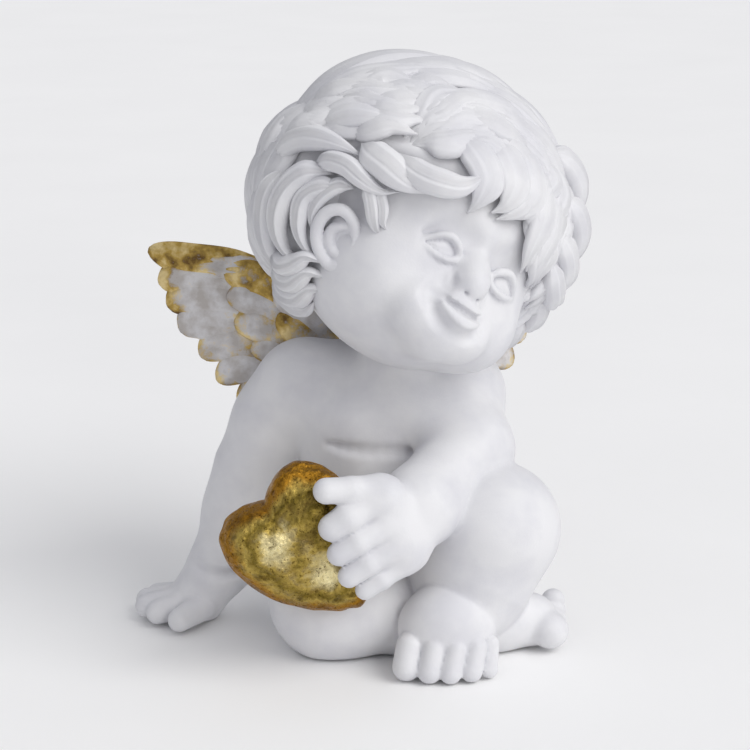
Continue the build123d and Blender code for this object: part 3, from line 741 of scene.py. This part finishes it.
def makeHair():
    parts = []
    u = np.linspace(0, 1, 7)
    for first, second, count, width, height, stand in tresses:
        one, two = smoothCurve(wayTo(first), 25), smoothCurve(wayTo(second), 25)
        for k in range(count):
            mix = (k + 0.5) / count + rng.uniform(-0.25, 0.25) / count
            way = one * (1 - mix) + two * mix
            for begin, end in ((0, 0.52), (0.2, 0.76), (0.44, 1.0)):
                # three locks one after the other: each starts under the one before and ends on top
                begin = max(begin + rng.uniform(-0.07, 0.07), 0)
                end = min(end + rng.uniform(-0.07, 0.07), 1)
                t = np.linspace(begin, end, 7)
                piece = np.stack([np.interp(t, np.linspace(0, 1, len(way)), axis) for axis in way.T], -1)
                rise = stand + 0.9 + rng.uniform(-0.3, 0.8)
                lift = -0.9 + rise * smoothStep(0, 0.55, u) - 0.7 * smoothStep(0.8, 1, u)
                rings = lockCut["rings"]
                lifts = np.interp(np.linspace(0, 1, rings), u, lift)
                wide, thick = width * rng.uniform(0.7, 1.15), height * rng.uniform(0.85, 1.2)
                strands = int(rng.integers(3, 6))
                wave, phase = rng.uniform(0.4, 1.5), rng.uniform(0, 6.28)
                piece = smoothCurve(piece, rings)
                parts.append(lock(piece, lifts, wide, thick, strands, wave, phase, lockCut))
    third = len(parts) // 3
    makeRibbons("hairTop", parts[:third], ["head"], whiteResin)
    makeRibbons("hairSides", parts[third:2 * third], ["head"], whiteResin)
    makeRibbons("hairBack", parts[2 * third:], ["head"], whiteResin)
    parts = []
    for line, width, height in curls:
        line, rings = np.asarray(line, float), curlCut["rings"]
        way, lift = smoothCurve(wayTo(line[:, :2]), rings), smoothCurve(line[:, 2:], rings)[:, 0]
        parts.append(lock(way, lift, width, height, 4, 0.25, 1.0, curlCut))
    makeRibbons("hairCurls", parts, ["head"], whiteResin)


def makeCap():
    # an egg as a grid of latitude and longitude, sunk in front and below so that the face and the neck show
    rows, columns, under = 60, 96, 0.6
    lat = np.linspace(-np.pi / 2, np.pi / 2, rows + 2)[1:-1]
    lon = np.linspace(0, 2 * np.pi, columns, endpoint=False)
    la, lo = np.meshgrid(lat, lon, indexing="ij")
    way = np.stack([np.sin(lo) * np.cos(la), -np.cos(lo) * np.cos(la), np.sin(la)], -1)
    az, el = np.degrees(np.arctan2(way[..., 0], -way[..., 1])), np.degrees(la)
    front = (1 - smoothStep(38, 50, np.abs(az + 4))) * (1 - smoothStep(4, 13, el))
    low = 1 - smoothStep(-62, -48, el)
    sink = -under - 9.0 * front - 7 * low
    points, _ = liftFrom(way.reshape(-1, 3), sink.ravel())
    poleLow, _ = liftFrom(np.array([[0, 0, -1.0]]), np.array([-under - 7]))
    poleHigh, _ = liftFrom(np.array([[0, 0, 1.0]]), np.array([-under]))
    points = np.concatenate([poleLow, points, poleHigh]) * mm
    makeObject("hairCap", points, tubeFaces(rows, columns), ["head"], whiteResin)


makeCap()
makeHair()
print("hair made")

# The wings are flat feathers carried along curved lines, each row over the last, and a roll in front.

wings = {"rightWing": {"node": "right_wing", "root": (-5.0, 13.5), "outward": (-0.9925, 0.122)},
         "leftWing": {"node": "left_wing", "root": (8.0, 13.0), "outward": (0.766, 0.643)}}
feathers = [
    # (outwards, upwards) points in mm, width, half thickness, layer forward or back, gold
    ([(5, 56), (13, 67), (24, 73), (35, 74.6), (43.6, 76.6)], 8.0, 1.5, 0.0, 0.62),
    ([(5, 55), (14, 65), (26, 70.2), (36, 70.8), (41.6, 69.8)], 8.8, 1.4, 0.0, 0.50),
    ([(5, 54), (15, 62.4), (27, 66.4), (35, 66.4), (39.8, 64.6)], 9.0, 1.4, 0.0, 0.30),
    ([(4, 52), (14, 58.4), (25, 61.8), (33, 61.4), (37.2, 59.2)], 9.0, 1.4, 0.0, 0.30),
    ([(3, 50), (12, 55), (21, 57), (28, 56.6), (32.8, 53.6)], 8.6, 1.4, 0.0, 0.42),
    ([(2, 48), (9, 51), (17, 52.6), (24, 51.6), (29.2, 48.2)], 8.2, 1.4, 0.0, 0.28),
    ([(2, 46), (8, 47.6), (14, 48.4), (20, 47), (24.6, 43.4)], 7.4, 1.4, 0.0, 0.45),
    ([(5, 57), (12, 66), (20, 71), (27, 72.6)], 8.0, 1.3, 1.5, 0.55),
    ([(5, 55), (12, 62), (20, 66.6), (26.5, 67.4)], 8.0, 1.3, 1.5, 0.35),
    ([(4, 53), (12, 58), (19, 61.2), (25, 61.6)], 8.0, 1.3, 1.5, 0.50),
    ([(3, 50), (10, 54), (16, 56.2), (21.5, 55.8)], 7.6, 1.3, 1.5, 0.35),
    ([(2, 47.5), (8, 50), (13, 51), (17.5, 49.8)], 7.2, 1.3, 1.5, 0.55),
    ([(5, 58), (11, 66), (16, 70.4)], 7.4, 1.2, 2.5, 0.30),
    ([(4, 54), (10, 60), (15.5, 64)], 7.4, 1.2, 2.5, 0.45),
    ([(3, 51), (9, 55), (14, 57.6)], 7.0, 1.2, 2.5, 0.30),
]


frontRoll = ([(3, 48), (7, 57), (13, 66), (21, 72.6), (28.5, 73.4), (35, 73.6)], 6.2, 2.3, 0.0, 0.45)
rootPad = ([(-3, 45), (2, 45.5), (7, 46.4), (13, 49)], 13.0, 3.4, 0.0, 0.25)      # covers the pins


def makeWings():
    # a feather's line runs out from the root along the wing's own direction and bulges by half a sine
    for name, wing in wings.items():
        away = np.array([*wing["outward"], 0.0])
        root = np.array([*wing["root"], 0.0])
        facing = np.cross([0, 0, 1.0], away) if wing["outward"][0] < 0 else np.cross(away, [0, 0, 1.0])
        parts, gold, draws = [], [], np.random.default_rng(5)
        rows = [(line, width, half, layer * side, share) for line, width, half, layer, share in feathers
                for side in ((1, -1) if layer else (1,))]
        rows += [frontRoll, rootPad]
        for line, width, half, layer, share in rows:
            flat = smoothCurve(line, 44)
            t = np.linspace(0, 1, 44)
            cup = layer + 0.5 * np.sin(np.pi * t)
            path = root + away * flat[:, :1] + np.array([0, 0, 1.0]) * flat[:, 1:] + facing * cup[:, None]
            # full width early on, then round like a quarter of a circle at the tip
            tip = np.clip((t - 0.66) / 0.345, 0, 1)
            shape = smoothStep(-0.5, 0.25, t) * np.sqrt(np.clip(1 - tip ** 2, 0.001, 1))
            outward = np.broadcast_to(facing, path.shape)
            part, rings, around = ribbon(path, outward, width * shape, half * shape ** 0.5, 4, 0.3, 1.0, 28,
                                         draws.uniform(0, 6.28))
            # the gold gathers on a feather's edges and towards its tip, and comes and goes along it
            turn = np.linspace(0, 2 * np.pi, around, endpoint=False)
            edge = np.abs(np.cos(turn))[None, :] ** 3
            patches = np.sin(5 * t[:, None] + draws.uniform(0, 6.28))
            amount = share + 0.28 * edge + 0.32 * smoothStep(0.72, 1, t)[:, None] + 0.22 * patches
            gold.append(np.concatenate([amount[0, :1], amount.ravel(), amount[-1, :1]]))
            parts.append((part, rings, around))
        obj = makeRibbons(name, parts, [wing["node"]], gildedResin)
        layer = obj.data.attributes.new("gold", "FLOAT", "POINT")
        layer.data.foreach_set("value", np.concatenate(gold).astype(np.float32))


makeWings()
print("wings made")

# The heart is an outline swept from back to front, drawn in towards the middle at both ends.

heartShape = {"tip": (-2.8, -33.0, 16.8), "up": (-0.682, 0, 0.731), "across": (0.731, 0, 0.682),
              "wide": 14.1, "long": 31.2, "deep": 7.4, "crumple": 0.0034, "around": 220, "rings": 90}


def makeHeart():
    # outline, for an angle t: across is sin t to a power from 2 at the cleft to 1.24 at the tip;
    # along is 13 cos t - 2.8 cos 2t - 1.3 cos 3t - 0.4 cos 4t.
    # ring by ring it shrinks by a power of the cosine while the sine carries it from back to front
    h = heartShape
    t = np.linspace(0, 2 * np.pi, h["around"], endpoint=False)
    sideways = np.sign(np.sin(t)) * np.abs(np.sin(t)) ** (1.62 + 0.38 * np.cos(t))
    upwards = 13 * np.cos(t) - 2.8 * np.cos(2 * t) - 1.3 * np.cos(3 * t) - 0.4 * np.cos(4 * t)
    unit = h["long"] / 25.4      # the outline's own height is 25.4
    flat = np.stack([h["wide"] * sideways, upwards * unit], -1)
    middle = np.array([0, -0.8])
    sweep = np.linspace(-np.pi / 2, np.pi / 2, h["rings"] + 2)[1:-1]
    shrink = np.cos(sweep) ** 0.6
    ring = middle + shrink[:, None, None] * (flat - middle)
    depth = np.sin(sweep)[:, None] * h["deep"] * np.ones(h["around"])
    # plumper over the lobes than at the tip and in the cleft
    near = np.exp(-((np.abs(ring[..., 0]) - 7.4) ** 2 + (ring[..., 1] - 6.0) ** 2) / 110)
    depth *= 0.62 + 0.42 * near
    poles = np.array([[0, -0.8, 0]] * 2, float)
    poles[:, 2] = np.array([-1, 1]) * h["deep"] * (0.62 + 0.42 * np.exp(-(7.4 ** 2 + 6.8 ** 2) / 110))
    rings = np.concatenate([ring, depth[..., None]], -1).reshape(-1, 3)
    points = np.concatenate([poles[:1], rings, poles[1:]])
    # crumple: a sum of fourteen waves in seeded directions
    draws = np.random.default_rng(3)
    ways = draws.normal(size=(14, 3))
    ways *= (draws.uniform(0.7, 2.6, 14) / np.linalg.norm(ways, axis=1))[:, None]
    wave = np.sin(points @ ways.T + draws.uniform(0, 6.28, 14)) / np.linalg.norm(ways, axis=1)
    points *= (1 + h["crumple"] * wave.sum(1))[:, None]
    up, across = np.array(h["up"]), np.array(h["across"])
    front = np.array([0, -1.0, 0])
    centre = np.array(h["tip"]) + up * (14.9 * unit - 0.9)      # the outline's tip is 14.9 below its middle
    place = centre + points[:, :1] * across + points[:, 1:2] * up + points[:, 2:] * front
    quads, triangles = tubeFaces(h["rings"], h["around"])
    faces = [quads[:, ::-1], triangles[:, ::-1]]
    obj = makeObject("heartShell", place * mm, faces, ["heart"], goldLeaf)
    # the painted rim shade is one less a power of the sine: nought at the middle of each side, where the leaf
    # gets its painted highlight, one at the rim, where it gets its painted shade
    rim = 1 - np.abs(np.sin(sweep))[:, None] ** 1.3 * np.ones(h["around"])
    paintedRimShade = np.concatenate([[0], rim.ravel(), [0]]).astype(np.float32)
    layer = obj.data.attributes.new("paintedRimShade", "FLOAT", "POINT")
    layer.data.foreach_set("value", paintedRimShade)


makeHeart()
print("heart made")

room = {"lens": 110.4, "away": 0.478, "raised": 15.0, "looksAt": 0.054}


def makeRoom():
    scene = bpy.context.scene
    camera = bpy.data.objects.new("camera", bpy.data.cameras.new("camera"))
    camera.data.lens, camera.data.sensor_width = room["lens"], 36
    tilt = np.radians(room["raised"])
    camera.location = (0, -room["away"] * np.cos(tilt), room["looksAt"] + room["away"] * np.sin(tilt))
    camera.rotation_euler = (np.pi / 2 - tilt, 0, 0)
    camera.data.clip_start = 0.01
    scene.collection.objects.link(camera)
    scene.camera = camera
    scene.view_settings.view_transform = "Standard"

    # floor: a disc of rings that goes out of sight
    turn = np.linspace(0, 2 * np.pi, 96, endpoint=False)
    radii = np.array([0.02, 0.06, 0.15, 0.4, 1.2, 4.0])
    ring = np.stack([np.cos(turn), np.sin(turn), 0 * turn], -1)
    points = np.concatenate([[[0, 0, 0]], (radii[:, None, None] * ring).reshape(-1, 3)])
    i, j = np.meshgrid(np.arange(len(radii) - 1), np.arange(96), indexing="ij")
    a, b = 1 + i * 96 + j, 1 + i * 96 + (j + 1) % 96
    quads = np.stack([a, a + 96, b + 96, b], -1).reshape(-1, 4)
    fan = np.stack([np.zeros(96, int), 1 + np.arange(96), 1 + (np.arange(96) + 1) % 96], -1)
    mesh = bpy.data.meshes.new("floor")
    mesh.from_pydata(points.tolist(), [], quads.tolist() + fan.tolist())
    floor = bpy.data.objects.new("floor", mesh)
    scene.collection.objects.link(floor)
    material, nodes, links, shader = newMaterial("paleFloor")
    mottle = noiseNode(nodes, links, 14.0)
    tones = [(0.3, (0.95, 0.95, 0.95)), (0.7, (0.97, 0.97, 0.97))]
    tone = rampNode(nodes, links, mottle.outputs["Fac"], tones)
    links.new(tone.outputs["Color"], shader.inputs["Base Color"])
    shader.inputs["Roughness"].default_value = 0.7
    mesh.materials.append(material)

    world = bpy.data.worlds.new("studio")
    scene.world = world
    world.use_nodes = True
    nodes, links = world.node_tree.nodes, world.node_tree.links
    place = nodes.new("ShaderNodeTexCoord")
    height = nodes.new("ShaderNodeSeparateXYZ")
    links.new(place.outputs["Generated"], height.inputs[0])
    # a room with a bright ceiling and darker walls
    walls, ceiling = (0.27, 0.27, 0.285), (0.62, 0.625, 0.65)
    sky = rampNode(nodes, links, height.outputs["Z"], [(0.0, walls), (0.8, ceiling)])
    links.new(sky.outputs["Color"], nodes["Background"].inputs["Color"])
    nodes["Background"].inputs["Strength"].default_value = 1.0
    # suns as wide as softboxes: place, angle, strength and colour
    suns = {"key": ((0.45, -0.30, 0.50), 0.75, 1.6, (1, 0.99, 0.97)),
            "fill": ((0.22, -0.60, 0.22), 0.25, 0.35, (1, 0.98, 0.95))}
    for name, (place, size, power, colour) in suns.items():
        light = bpy.data.objects.new(name, bpy.data.lights.new(name, "SUN"))
        light.data.energy, light.data.color = power, colour
        light.data.angle = size
        light.location = place
        light.rotation_euler = (Vector((0, 0, 0.06)) - light.location).to_track_quat("-Z", "Y").to_euler()
        scene.collection.objects.link(light)


makeRoom()
print("camera, floor and light set")
